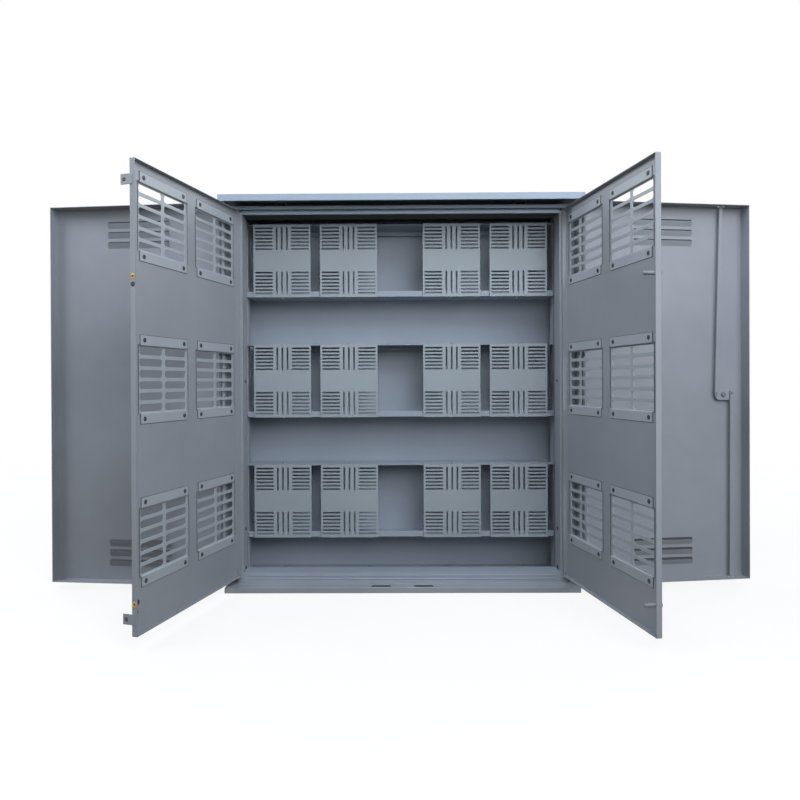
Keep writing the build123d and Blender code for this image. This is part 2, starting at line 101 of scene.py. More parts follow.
def on_leaf(points, side, leaf):
    """Door places (s, t, z) turned open by the leaf's angle a: x = s cos a + t sin a and y = t cos a - s sin a,
    then set on the hinge line, and mirrored for the right leaf."""
    a = np.radians(leaf[side])
    s, t, z = np.moveaxis(np.asarray(points, float), -1, 0)
    x = -leaf["x"] + s * np.cos(a) + t * np.sin(a)
    y = leaf["y"] - s * np.sin(a) + t * np.cos(a)
    return np.stack([x if side == "left" else -x, y, z], axis=-1)


def hung(shape, side, leaf):
    """A closed shape in door places set on its leaf; the right leaf is a mirror image, so its faces turn round."""
    points, faces = shape
    return on_leaf(points, side, leaf), faces if side == "left" else faces[:, ::-1]


def leaf_directions(side, leaf):
    """The directions along a leaf from its hinge and inward through it, as it stands open."""
    a, hand = np.radians(leaf[side]), 1 if side == "left" else -1
    return np.array([hand * np.cos(a), -np.sin(a), 0]), np.array([hand * np.sin(a), np.cos(a), 0])


def grid_faces(rows, columns, around=False):
    """Quads between neighbouring points of a rows x columns grid; around joins the last column to the first."""
    r, c = np.meshgrid(np.arange(rows - 1), np.arange(columns if around else columns - 1), indexing="ij")
    d = (c + 1) % columns
    here, after = r * columns, (r + 1) * columns
    return np.stack([here + c, here + d, after + d, after + c], -1).reshape(-1, 4)


def copies(points, faces, count):
    """Stacks count copies of one grid: the points come with a leading axis, the face numbers are shifted."""
    step = points.shape[1]
    shift = (np.arange(count) * step)[:, None, None]
    return points.reshape(-1, 3), (faces[None] + shift).reshape(-1, faces.shape[1])


def joined(*shapes):
    """Several (points, faces) pairs as one, with the face numbers moved on."""
    starts = np.cumsum([0] + [len(points) for points, faces in shapes[:-1]])
    return (np.concatenate([points for points, faces in shapes]),
            np.concatenate([faces + start for (points, faces), start in zip(shapes, starts)]))


def round_corners(half_x, half_y, corner):
    """A rectangle with quarter-circle corners, point by point: the middle of the point's arc, and the angle at
    which the point lies from it."""
    turn = (np.arange(4)[:, None] * np.pi / 2 + np.linspace(0, np.pi / 2, QUARTER)).ravel()
    centre_x = np.repeat([1, -1, -1, 1], QUARTER) * (half_x - corner)
    centre_y = np.repeat([1, 1, -1, -1], QUARTER) * (half_y - corner)
    return centre_x, centre_y, turn


def slotted_panel(half_s, half_z, columns, rows, side_land, mullion, end_land, rib, corner):
    """Flat panel with a pattern of round-cornered slots. In each cell the surface runs from the slot's outline
    straight out to the cell's own rectangle."""
    width = (2 * half_s - 2 * side_land - (columns - 1) * mullion) / columns
    height = (2 * half_z - 2 * end_land - (rows - 1) * rib) / rows
    mid_s = -half_s + side_land + width / 2 + np.arange(columns) * (width + mullion)
    mid_z = -half_z + end_land + height / 2 + np.arange(rows) * (height + rib)
    wall_s = np.concatenate([[-half_s], (mid_s[1:] + mid_s[:-1]) / 2, [half_s]])
    wall_z = np.concatenate([[-half_z], (mid_z[1:] + mid_z[:-1]) / 2, [half_z]])
    arc_s, arc_z, turn = round_corners(width / 2, height / 2, corner)
    # a point goes out to the cell's corner, and toward the ends of its arc it is pulled level with them
    share = np.linspace(0, 1, QUARTER)
    first, second = np.clip(1 - share * 2, 0, 1), np.clip(share * 2 - 1, 0, 1)
    from_side = np.array([True, False, True, False])[:, None]
    pull_s = np.where(from_side, second, first).ravel()
    pull_z = np.where(from_side, first, second).ravel()
    col, row = [k.reshape(-1, 1) for k in np.meshgrid(np.arange(columns), np.arange(rows), indexing="ij")]
    rim_s = np.where(arc_s > 0, wall_s[col + 1], wall_s[col])
    rim_z = np.where(arc_z > 0, wall_z[row + 1], wall_z[row])
    outer_s = rim_s + (mid_s[col] + arc_s - rim_s) * pull_s
    outer_z = rim_z + (mid_z[row] + arc_z - rim_z) * pull_z
    s = np.stack([mid_s[col] + arc_s + corner * np.cos(turn), outer_s], 1)
    z = np.stack([mid_z[row] + arc_z + corner * np.sin(turn), outer_z], 1)
    points = np.stack([s, 0 * s, z], -1).reshape(len(col), -1, 3)
    return copies(points, grid_faces(2, len(turn), around=True), len(col))


def folded_strip(half_s, foot, head, reach, bend, sign):
    """Sheet folded once: the profile climbs from the panel, turns through a quarter circle of radius bend and
    runs out flat by reach; it is carried straight along the window between -half_s and half_s."""
    share = np.linspace(0, np.pi / 2, QUARTER)
    out = np.concatenate([[0], bend * (1 - np.cos(share)), [reach / 2, reach]])
    rise = np.concatenate([[foot], head - bend + bend * np.sin(share), [head, head]])
    along = np.linspace(-half_s, half_s, 3)
    s, k = np.meshgrid(along, np.arange(len(out)), indexing="ij")
    points = np.stack([s, rise[k], sign * out[k]], -1)
    return points.reshape(-1, 3), grid_faces(len(along), len(out))[:, ::sign]


def bars(low, high):
    """Closed boxes between pairs of opposite corners: each corner takes its three numbers from low or high."""
    pick = np.array([(0, 0, 0), (1, 0, 0), (1, 1, 0), (0, 1, 0), (0, 0, 1), (1, 0, 1), (1, 1, 1), (0, 1, 1)], bool)
    sides = np.array([(3, 2, 1, 0), (4, 5, 6, 7), (0, 1, 5, 4), (1, 2, 6, 5), (2, 3, 7, 6), (3, 0, 4, 7)])
    corners = np.where(pick[None], np.asarray(high, float)[:, None], np.asarray(low, float)[:, None])
    return copies(corners, sides, len(corners))


def thread(crest, depth, top, step, count):
    """Profile of a thread: (radius, height) pairs down from top by step, in turn at the crest and depth below."""
    k = np.arange(count)
    return np.stack([crest - depth * (k % 2), top - step * k], -1)


def turned(profile, sides, hexagon=0.0):
    """A profile of (radius, height) pairs, from the top of the axis down to its foot, turned about the axis; a
    closed profile gives a ring. Hexagon pulls each circle toward a six-sided outline, whose radius is
    r cos 30 / cos(angle from the middle of the flat)."""
    radius, height = MM * np.asarray(profile, float).T
    angle = np.arange(sides) * 2 * np.pi / sides
    flat = np.cos(np.pi / 6) / np.cos((angle + np.pi / 6) % (np.pi / 3) - np.pi / 6)
    share = np.broadcast_to(np.asarray(hexagon, float), radius.shape)[:, None]
    r = radius[:, None] * (1 - share + share * flat[None])
    points = np.stack([r * np.cos(angle), r * np.sin(angle), np.repeat(height[:, None], sides, 1)], -1)
    return points.reshape(-1, 3), grid_faces(len(radius), sides, around=True)[:, ::-1]


def set_at(shape, places, out, up=UP):
    """Copies of a turned shape at places, with its axis along out and its y along up."""
    points, faces = shape
    spun = points @ np.array([np.cross(up, out), up, out], float)
    return copies(np.asarray(places, float)[:, None, :] + spun[None], faces, len(places))


def bead(start, end, half_width, height, out):
    """Rounded bead along a straight line: an ellipse of half_width by height, half sunk in the sheet, carried
    from start to end and shrunk to nothing over its own width at both ends, by the sine of a quarter turn."""
    start, end = np.asarray(start, float), np.asarray(end, float)
    length = np.linalg.norm(end - start)
    run = (end - start) / length
    ease = np.linspace(0, np.pi / 2, QUARTER)
    reach = 2 * half_width * (1 - np.cos(ease))
    place = np.concatenate([reach, length - reach[::-1]])
    swell = np.concatenate([np.sin(ease), np.sin(ease)[::-1]])
    angle = np.arange(BEAD_SIDES) * 2 * np.pi / BEAD_SIDES
    ring = np.cos(angle)[:, None] * half_width * np.cross(out, run) + np.sin(angle)[:, None] * height * out
    points = start + place[:, None, None] * run + swell[:, None, None] * ring[None]
    return points.reshape(-1, 3), grid_faces(len(place), BEAD_SIDES, around=True)


def edging(half_x, half_y, corner, profile):
    """A closed profile of (outward, upward) pairs carried round a rectangle with quarter-circle corners: each
    point is the middle of the corner's arc plus (corner + outward) along the turning direction."""
    centre_x, centre_y, turn = round_corners(half_x, half_y, corner)
    outward, upward = MM * np.asarray(profile, float).T
    reach = corner + outward[:, None]
    points = np.stack([centre_x + reach * np.cos(turn), centre_y + reach * np.sin(turn),
                       np.repeat(upward[:, None], len(turn), 1)], -1)
    return points.reshape(-1, 3), grid_faces(len(outward), len(turn), around=True)[:, ::-1]


def slats(profile, low, high, heights):
    """A closed profile of (t, z) pairs carried straight along s from low to high, once at each height; each end
    is closed by the profile shrunk to its middle."""
    ring = MM * np.asarray(profile, float)
    middle = np.repeat(ring.mean(0)[None], len(ring), 0)
    rows = np.stack([middle, ring, ring, middle])
    along = np.broadcast_to(np.array([low, low, high, high])[:, None, None], rows[..., :1].shape)
    one = np.concatenate([along, rows], -1).reshape(-1, 3)
    points = one[None] + np.asarray(heights, float)[:, None, None] * UP
    return copies(points, grid_faces(len(rows), len(ring), around=True), len(heights))


def piece(name, shape, finish, body, smooth=False):
    """A mesh from whole arrays, welded where its grids meet, that rides on a body of the cabinet."""
    mesh = bpy.data.meshes.new(name)
    mesh.from_pydata(shape[0].reshape(-1, 3), [], shape[1])
    mesh.materials.append(finish)
    obj = bpy.data.objects.new(name, mesh)
    bpy.context.scene.collection.objects.link(obj)
    obj.modifiers.new("weld", "WELD").merge_threshold = WELD
    if smooth:
        mesh.polygons.foreach_set("use_smooth", np.ones(len(mesh.polygons), bool))
    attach(obj, body)
    return obj


# ---------------------------------------------------------------- finishes

COLOUR_A, COLOUR_B, COLOUR_OUT = 6, 7, 2    # colour sockets of the Mix node, whose names its other sockets share


def linear(code):
    """sRGB hex to linear light, with full alpha."""
    c = np.array([int(code[k:k + 2], 16) for k in (1, 3, 5)]) / 255
    return (*np.where(c <= 0.04045, c / 12.92, ((c + 0.055) / 1.055) ** 2.4).tolist(), 1.0)


def add(tree, kind, settings=None, links=None):
    """Adds one node: settings go to its properties or input sockets, links join its inputs to other outputs."""
    node = tree.nodes.new(kind)
    for key, value in (settings or {}).items():
        if isinstance(key, str) and hasattr(node, key):
            setattr(node, key, value)
        else:
            node.inputs[key].default_value = value
    for key, source in (links or {}).items():
        tree.links.new(source, node.inputs[key])
    return node


def blank(name):
    """A new material with an empty node tree."""
    material = bpy.data.materials.new(name)
    material.use_nodes = True
    material.node_tree.nodes.clear()
    return material, material.node_tree


def powder_coat(name, light, dark, gloss=0.46):
    """Powder-coated sheet steel: baked polyester that flows into a faint orange peel, so highlights are soft and
    broad; large panels show slow drifts of tone and a little dull dust."""
    material, tree = blank(name)
    where = add(tree, "ShaderNodeTexCoord").outputs["Object"]
    # drifts of tone about 400 mm across, dust about 60 mm, orange peel 1 mm drawn at 3 mm so that it shows
    drift = add(tree, "ShaderNodeTexNoise", {"Scale": 1 / (400 * MM), "Detail": 3.0},
                {"Vector": where}).outputs["Fac"]
    dust = add(tree, "ShaderNodeTexNoise", {"Scale": 1 / (60 * MM), "Detail": 5.0},
               {"Vector": where}).outputs["Fac"]
    peel = add(tree, "ShaderNodeTexNoise", {"Scale": 1 / (3 * MM), "Detail": 1.0},
               {"Vector": where}).outputs["Fac"]
    both = add(tree, "ShaderNodeMath", {"operation": "MULTIPLY_ADD", 1: 0.3}, {0: dust, 2: drift}).outputs[0]
    tone = add(tree, "ShaderNodeMapRange", {"From Min": 0.4, "From Max": 0.9}, {"Value": both}).outputs[0]
    colour = add(tree, "ShaderNodeMix", {"data_type": "RGBA", COLOUR_A: linear(dark), COLOUR_B: linear(light)},
                 {0: tone}).outputs[COLOUR_OUT]
    rough = add(tree, "ShaderNodeMapRange", {"To Min": gloss - 0.06, "To Max": gloss + 0.08},
                {"Value": dust}).outputs[0]
    # the coat rounds the folds and cut edges of the sheet by about a millimetre
    edge = add(tree, "ShaderNodeBevel", {"samples": 4, "Radius": 1.2 * MM}).outputs[0]
    bump = add(tree, "ShaderNodeBump", {"Strength": 0.12, "Distance": 0.3 * MM},
               {"Height": peel, "Normal": edge}).outputs[0]
    shader = add(tree, "ShaderNodeBsdfPrincipled", {"IOR": 1.5, "Specular IOR Level": 0.35},
                 {"Base Color": colour, "Roughness": rough, "Normal": bump}).outputs[0]
    add(tree, "ShaderNodeOutputMaterial", None, {"Surface": shader})
    return material


def plated_metal(name, light, dark, gloss, grain):
    """Plated or turned metal: a thin bright skin with fine cloudy grain, grain metres across, and uneven gloss."""
    material, tree = blank(name)
    where = add(tree, "ShaderNodeTexCoord").outputs["Object"]
    cloud = add(tree, "ShaderNodeTexNoise", {"Scale": 1 / grain, "Detail": 4.0}, {"Vector": where}).outputs["Fac"]
    colour = add(tree, "ShaderNodeMix", {"data_type": "RGBA", COLOUR_A: linear(dark), COLOUR_B: linear(light)},
                 {0: cloud}).outputs[COLOUR_OUT]
    rough = add(tree, "ShaderNodeMapRange", {"To Min": gloss - 0.08, "To Max": gloss + 0.1},
                {"Value": cloud}).outputs[0]
    bump = add(tree, "ShaderNodeBump", {"Strength": 0.1, "Distance": 0.2 * MM}, {"Height": cloud}).outputs[0]
    shader = add(tree, "ShaderNodeBsdfPrincipled", {"Metallic": 1.0},
                 {"Base Color": colour, "Roughness": rough, "Normal": bump}).outputs[0]
    add(tree, "ShaderNodeOutputMaterial", None, {"Surface": shader})
    return material


def dark_finish(name, light, dark, gloss, grain):
    """Black or grey skin that isn't bright metal, such as oxide, phosphate, rubber or nylon, and the near-black of
    painted
    shade: a soft sheen over a fine grain, grain metres across."""
    material, tree = blank(name)
    where = add(tree, "ShaderNodeTexCoord").outputs["Object"]
    cloud = add(tree, "ShaderNodeTexNoise", {"Scale": 1 / grain, "Detail": 3.0}, {"Vector": where}).outputs["Fac"]
    colour = add(tree, "ShaderNodeMix", {"data_type": "RGBA", COLOUR_A: linear(dark), COLOUR_B: linear(light)},
                 {0: cloud}).outputs[COLOUR_OUT]
    rough = add(tree, "ShaderNodeMapRange", {"To Min": gloss - 0.07, "To Max": gloss + 0.09},
                {"Value": cloud}).outputs[0]
    bump = add(tree, "ShaderNodeBump", {"Strength": 0.15, "Distance": 0.2 * MM}, {"Height": cloud}).outputs[0]
    shader = add(tree, "ShaderNodeBsdfPrincipled", {"IOR": 1.5},
                 {"Base Color": colour, "Roughness": rough, "Normal": bump}).outputs[0]
    add(tree, "ShaderNodeOutputMaterial", None, {"Surface": shader})
    return material


# one grey polyester coat in seven tones: satin, even, with soft broad highlights; the extra blue of the roof and
# inside tones is painted sky light
# frame, posts, base and hinges: neutral grey
body_coat = powder_coat("powder_coated_body_steel", "#9a9ea3", "#8e9297")
# roof and header: bluer, a painted tint of the blue sky light that falls on them from above
roof_coat_painted_sky_blue = powder_coat("powder_coated_roof_steel_painted_sky_blue", "#9ba8b5", "#909da9")
# rear panel, rows and sill: a little bluer, a painted tint of sky light, and flatter, so that the inside stays
# quiet behind the covers
interior_coat_painted_sky_blue = powder_coat("powder_coated_interior_steel_painted_sky_blue", "#9ca4ae", "#9199a3", 0.52)
# box covers: a cool grey on which the slots read as dark lines
cover_coat = powder_coat("powder_coated_cover_steel", "#9ba3a7", "#90989c", 0.5)
# inner leaves: neutral and flat
leaf_coat = powder_coat("powder_coated_leaf_steel", "#989b9f", "#8c8f93", 0.5)
# vents: paler than the leaf they sit in
vent_coat = powder_coat("powder_coated_vent_steel", "#a9aeb1", "#9da2a6", 0.5)
# outer doors and lock rods: the smoothest, with the clearest sheen
door_coat = powder_coat("powder_coated_door_steel", "#9a9da2", "#8d9095", 0.44)

# bright zinc on bolts and rivets: small pale glints
zinc = plated_metal("bright_zinc_plated_steel", "#b4b8bb", "#8f9397", 0.38, 4 * MM)
# turned brass of the inserts: warm yellow points
brass = plated_metal("turned_brass", "#c4a561", "#9c8040", 0.32, 3 * MM)

# black oxide on screws and eyelets: blue-black, with grey light on the rims
black_oxide = dark_finish("black_oxide_steel", "#34373b", "#1f2124", 0.45, 2 * MM)
# black coat on the outside lever and its plate: plain black with a soft sheen
black_coat = dark_finish("black_powder_coated_steel", "#2a2b2d", "#1b1c1d", 0.5, 3 * MM)
# painted shade: a near-black that takes nearly all light, so the shaded underside of the header reads as a black
# line
shade_black = dark_finish("black_painted_shade", "#18191a", "#0b0c0c", 0.9, 1 * MM)
# wire screen in the louvres: too fine to show its mesh, so it reads as an even dark grey
woven_screen = dark_finish("black_woven_wire_screen", "#3a3c3f", "#1e2022", 0.6, 1.5 * MM)
# phosphate on pins, nut and rivets: dull mid grey without glints
phosphate = dark_finish("grey_phosphated_steel", "#84878a", "#66696c", 0.46, 2 * MM)
# rubber of the grommets: flat black; the same black paints the shade lines beside the vent strips and windows
rubber = dark_finish("black_epdm_rubber", "#2b2c2d", "#1f2021", 0.7, 2 * MM)
# nylon washers: black with a faint moulded sheen
nylon = dark_finish("black_moulded_nylon", "#2b2c2e", "#1c1d1f", 0.55, 1.5 * MM)

# finish of each CAD node: by its slot in the record, unless its name ends with one of these
slot_finishes = {"paint": body_coat, "cover_paint": cover_coat, "zinc": zinc, "brass": brass,
                 "dark_metal": black_coat}
named_finishes = {("inner_door", "vent"): leaf_coat,
                  ("outer_door", "lock_rod"): door_coat,
                  ("row_channel", "rear_panel", "sill_rail"): interior_coat_painted_sky_blue,
                  ("roof_cap", "header_rail"): roof_coat_painted_sky_blue,
                  ("inner_pivot_brackets", "outer_hinge_pins", "lock_cam"): body_coat}
node_slots = {part["node"]: part["material_slot"] for part in frame["record"]["subparts"]}
for node_name, node_object in frame["nodes"].items():
    finish = slot_finishes[node_slots.get(node_name, "paint")]
    for endings, named_finish in named_finishes.items():
        if node_name.endswith(endings):
            finish = named_finish
    for material_slot in node_object.material_slots:
        material_slot.material = finish


# ---------------------------------------------------------------- vents, their screws and black lines of painted shade

windows = np.array([(s, 0, z) for s in WINDOW_S.values() for z in WINDOW_Z.values()])[:, None]

# one vent about the middle of its window
panel, panel_faces = slotted_panel(*PANEL_HALF, **PANEL_SLOTS)
vent_sheets = [(panel + [0, PANEL_T, 0], panel_faces)]
for sign in (-1, 1):
    strip, strip_faces = folded_strip(STRIP_HALF, PANEL_T, STRIP_T, STRIP_REACH, STRIP_BEND, sign)
    vent_sheets.append((strip + [0, 0, sign * STRIP_Z], strip_faces))
vent_points, vent_faces = joined(*vent_sheets)

# button heads with a recess, at the four corners of each vent
button_head = turned([(0, 1.2), (2.2, 1.3), (2.8, 2.6), (4.8, 2.1), (6.4, 0.9), (6.8, 0), (6.8, -0.2),
                      (0, -0.2)], sides=12)
vent_corners = [(s, STRIP_T + SHEET / 2, z) for s in (-SCREW_S, SCREW_S) for z in (-SCREW_Z, SCREW_Z)]
screw_places = (windows + vent_corners).reshape(-1, 3)

# black strips of painted shade that stand a little out from under the strips and run along the free side of each
# window, where the gaps lie in shade
shade_line_s, shade_line_z = STRIP_HALF + SHADE_LINE_EDGE, STRIP_Z + STRIP_REACH + SHADE_LINE_EDGE / 2
sunk, raised = LEAF_T - SHADE_LINE_SINK, LEAF_T + SHADE_LINE_RISE
edge_s, edge_z = WINDOW_HALF
shade_line_low = [(-shade_line_s, sunk, -shade_line_z), (-shade_line_s, sunk, STRIP_Z), (edge_s - SHADE_LINE_SINK, LEAF_T - SHEET, -edge_z)]
shade_line_high = [(shade_line_s, raised, -STRIP_Z), (shade_line_s, raised, shade_line_z), (edge_s + SHADE_LINE_EDGE, raised, edge_z)]
vent_shade_lines = bars((windows + shade_line_low).reshape(-1, 3), (windows + shade_line_high).reshape(-1, 3))

for side in ("left", "right"):
    body = side + "_inner_leaf"
    for column, s in WINDOW_S.items():
        for row, z in WINDOW_Z.items():
            name = f"{side}_{column}_{row}_vent"
            points = on_leaf(vent_points + [s, 0, z], side, INNER)
            vent = piece(name + "_sheet", (points, vent_faces), vent_coat, body)
            thicken = vent.modifiers.new("sheet", "SOLIDIFY")
            thicken.thickness = SHEET
            thicken.offset = 0.0
            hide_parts(name)
    inward = leaf_directions(side, INNER)[1]
    heads = set_at(button_head, on_leaf(screw_places, side, INNER), inward)
    piece(side + "_vent_screws", heads, black_oxide, body, smooth=True)
    # black lines of painted shade along the strips and the free side of each window
    piece(side + "_vent_shade_lines", hung(vent_shade_lines, side, INNER), rubber, body)


# ---------------------------------------------------------------- small pieces on the frame and the base

# hexagon bolts above and below each box cover
cover_bolt = turned([(0, 3.9), (3.6, 4.0), (4.5, 3.4), (4.5, 1.0), (5.0, 0.9), (5.0, 0), (0, 0)], sides=12,
                    hexagon=(0, 0.6, 1, 1, 0, 0, 0))
row_feet = np.array([(x, BOLT_Y, z) for z in ROW_FOOT for x in COVER_X])
upper_bolts = set_at(cover_bolt, row_feet + (ROW_HEIGHT + SHEET) * UP, UP, REAR)
lower_bolts = set_at(cover_bolt, row_feet - SHEET * UP, -UP, REAR)
bolts = piece("cover_bolts", joined(upper_bolts, lower_bolts), zinc, "cabinet")
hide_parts("cover_screws")

# screws in the reveals of the jambs
right_reveal = np.array([(0.548, 0.035, z) for z in (0.060, 0.196, 0.714)])
left_reveal = right_reveal * [-1, 1, 1]
reveal_heads = joined(set_at(button_head, right_reveal, -RIGHT), set_at(button_head, left_reveal, RIGHT))
piece("reveal_screws", reveal_heads, black_oxide, "cabinet", smooth=True)

# rivets along the rear of the floor
rivet_places = [(x, 0.197, BASE_TOP) for x in (-0.43, -0.115, 0.172, 0.46)]
piece("floor_rivets", set_at(button_head, rivet_places, UP, REAR), zinc, "cabinet", smooth=True)

# pressed caps that close the wrench holes over the anchors
anchor_cap = turned([(0, 1.4), (9.0, 1.3), (14.5, 0.9), (15.8, 0.2), (15.8, 0), (13.6, 0), (13.6, -3.0),
                     (0, -3.0)], sides=28)
cap_places = [(x, y, BASE_TOP) for x in (-0.520, 0.520) for y in (0.095, 0.185)]
piece("anchor_caps", set_at(anchor_cap, cap_places, UP, REAR), body_coat, "cabinet", smooth=True)

# a near-black strip under the header that paints the shade of its underside
shade_strip_low, shade_strip_high = [(-0.545, 0.0045, 1.2904)], [(0.545, 0.0680, 1.2922)]
piece("header_painted_shade", bars(shade_strip_low, shade_strip_high), shade_black, "cabinet")

# pressed beads that stiffen the sill and the ledge of the base
sill_end, ledge_end = 0.535, 0.56
sill_beads = [bead((-sill_end, 0, z), (sill_end, 0, z), half_width=0.0026, height=0.0014, out=-REAR)
              for z in (0.0400, 0.0285)]
ledge_beads = [bead((-ledge_end, y, BASE_TOP), (ledge_end, y, BASE_TOP), half_width=0.0035, height=0.0016, out=UP)
               for y in (-0.019, -0.061)]
piece("sill_beads", joined(*sill_beads), body_coat, "cabinet", smooth=True)
piece("ledge_beads", joined(*ledge_beads), body_coat, "cabinet", smooth=True)

# rubber grommets in the keeper slots of the ledge, which the lower lock rod drops into
lip = [(-0.8, -2.0), (-0.8, 0.5), (0.2, 0.9), (2.0, 0.8), (2.6, 0.3), (2.6, 0), (0, 0), (0, -2.0), (-0.8, -2.0)]
grommet, grommet_faces = edging(half_x=0.030, half_y=0.0065, corner=0.0015, profile=lip)
keeper_places = np.array([(x, -0.0492, BASE_TOP) for x in (-0.0715, 0.0715)])
grommets = copies(keeper_places[:, None] + grommet[None], grommet_faces, len(keeper_places))
piece("keeper_grommets", grommets, rubber, "cabinet")


# ---------------------------------------------------------------- small pieces on the doors

# insect screens folded into the gaps of the louvres, from the upper edge of the sheet to the lip of the scoop
screen_fold = [(-19.0, -2.9), (-10.2, -2.9), (-17.8, 3.2), (-19.0, 2.6)]
louvre_heights = (np.array(LOUVRE_Z)[:, None] - np.arange(LOUVRE_COUNT) * LOUVRE_PITCH).ravel()
screens = slats(screen_fold, *LOUVRE_S, louvre_heights)
for side in ("left", "right"):
    piece(side + "_louvre_screens", hung(screens, side, OUTER), woven_screen, side + "_outer_leaf")

# washers that fill the gap between the pivot tongues and the inner leaves
washer = turned([(4.2, 1.0), (4.2, 0.95), (8.3, 0.95), (8.8, 0.5), (8.8, -0.5), (8.3, -0.95), (4.2, -0.95),
                 (4.2, 1.0)], sides=20)
washer_places = [(x, INNER["y"], z) for x in (-INNER["x"], INNER["x"]) for z in (0.039, 1.305)]
piece("pivot_washers", set_at(washer, washer_places, UP, REAR), nylon, "cabinet", smooth=True)

# left inner leaf: two screws near its foot, and a catch screw below the upper insert
along, inward = leaf_directions("left", INNER)
foot_places = on_leaf([(0.541, LEAF_T, 0.124), (0.547, LEAF_T, 0.099)], "left", INNER)
catch_place = on_leaf([(FLANGE_S, FLANGE_T, 0.972)], "left", INNER)
leaf_heads = joined(set_at(button_head, foot_places, inward), set_at(button_head, catch_place, along))
piece("left_leaf_screws", leaf_heads, black_oxide, "left_inner_leaf", smooth=True)

# its threaded inserts: a rolled collar, a threaded bore and a body behind the flange
bore = thread(crest=3.4, depth=0.5, top=0.6, step=0.7, count=9)[::-1]
collar = [(3.9, 1.0), (5.4, 1.0), (6.6, 0.8), (7.0, 0.3), (7.0, 0), (5.0, 0), (5.0, -6.5), (0, -6.5)]
insert = turned(np.concatenate([[(0, -5.2)], bore, collar]), sides=18)
insert_places = on_leaf([(FLANGE_S, FLANGE_T, z) for z in CATCH_Z], "left", INNER)
inserts = piece("insert_collars", set_at(insert, insert_places, along), brass, "left_inner_leaf",
                smooth=True)
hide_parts("threaded_inserts")

# eyelets pressed into the holes of its lugs, and the plain rivets that fill them
eyelet = turned([(2.4, -0.4), (2.4, 0.5), (3.2, 0.9), (5.0, 0.7), (5.4, 0), (4.0, 0), (4.0, -1.5), (5.4, -1.5),
                 (5.0, -2.2), (3.2, -2.4), (2.4, -2.0), (2.4, -0.4)], sides=18)
lug_rivet = turned([(0, 0.4), (1.6, 0.3), (2.5, -0.2), (2.5, -1.4), (1.6, -1.8), (0, -1.9)], sides=14)
lug_places = on_leaf([(0.5655, -0.023, z) for z in (0.085, 1.249)], "left", INNER)
piece("lug_eyelets", set_at(eyelet, lug_places, along), black_oxide, "left_inner_leaf", smooth=True)
piece("lug_rivets", set_at(lug_rivet, lug_places, along), phosphate, "left_inner_leaf", smooth=True)

# captive screws of the right inner leaf: a threaded point, a long shank and a washer inside, a flat head outside
tip = [(0, 40.0), (3.4, 39.6), (5.0, 37.6)]
shank = [(5.8, 25.0), (5.8, -3.0), (7.6, -3.2), (7.8, -4.4), (4.0, -4.5), (4.0, -6.0)]
head = [(8.6, -6.0), (9.0, -6.5), (9.0, -8.4), (8.2, -9.0), (0, -9.0)]
captive = turned(np.concatenate([tip, thread(crest=5.8, depth=0.8, top=36.0, step=0.9, count=12), shank, head]),
                 sides=18)
inward = leaf_directions("right", INNER)[1]
captive_places = on_leaf([(0.554, 0, z) for z in CATCH_Z], "right", INNER)
captives = piece("captive_pins", set_at(captive, captive_places, inward), phosphate, "right_inner_leaf",
                 smooth=True)
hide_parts("captive_screws")

# right outer door: the nut on the lock spindle, and the rivets that join the rods to the cam
inward = leaf_directions("right", OUTER)[1]
spindle_nut = turned([(0, 5.6), (3.4, 5.6), (4.0, 5.0), (7.0, 5.0), (8.4, 4.2), (8.4, 0.8), (10.0, 0.7),
                      (10.0, 0), (0, 0)], sides=12, hexagon=(0, 0, 0, 0.6, 1, 1, 0, 0, 0))
nut_place = on_leaf([(0.524, -0.006, 0.662)], "right", OUTER)
piece("spindle_nut", set_at(spindle_nut, nut_place, inward), phosphate, "lock")
rod_rivet = turned([(0, 2.2), (2.4, 1.9), (4.2, 1.0), (4.8, 0), (4.8, -0.2), (0, -0.2)], sides=12)
for rod, s in (("upper_rod", 0.4963), ("lower_rod", 0.5530)):
    rivet_place = on_leaf([(s, -0.0007, 0.668)], "right", OUTER)
    piece(rod + "_rivet", set_at(rod_rivet, rivet_place, inward), phosphate, rod, smooth=True)


# ---------------------------------------------------------------- floor and room

FLOOR_HALF = 30.0
WHITE = (1, 1, 1, 1)


def background_rays(tree):
    """1 for the rays that show the background, straight, mirrored or through glass, and 0 for those it lights."""
    ray = add(tree, "ShaderNodeLightPath").outputs
    mirrored = add(tree, "ShaderNodeMath", {"operation": "MAXIMUM"},
                   {0: ray["Is Camera Ray"], 1: ray["Is Glossy Ray"]}).outputs[0]
    return add(tree, "ShaderNodeMath", {"operation": "MAXIMUM"},
               {0: mirrored, 1: ray["Is Transmission Ray"]}).outputs[0]


# pale paper with half-metre drifts of tone, which gives a darker, warm bounce to the object
stage_material, tree = blank("pale_studio_floor")
where = add(tree, "ShaderNodeTexCoord").outputs["Object"]
speck = add(tree, "ShaderNodeTexNoise", {"Scale": 1 / (500 * MM), "Detail": 2.0}, {"Vector": where}).outputs["Fac"]
shown = background_rays(tree)
pale = add(tree, "ShaderNodeMix", {"data_type": "RGBA", COLOUR_A: linear("#f2f1ef"), COLOUR_B: linear("#f7f6f5")},
           {0: speck}).outputs[COLOUR_OUT]
bounce = add(tree, "ShaderNodeMix", {"data_type": "RGBA", COLOUR_A: linear("#4c463f")},
             {0: shown, COLOUR_B: pale}).outputs[COLOUR_OUT]
paper = add(tree, "ShaderNodeBsdfDiffuse", None, {"Color": bounce}).outputs[0]
glow = add(tree, "ShaderNodeEmission", {"Color": WHITE, "Strength": 1.0}).outputs[0]
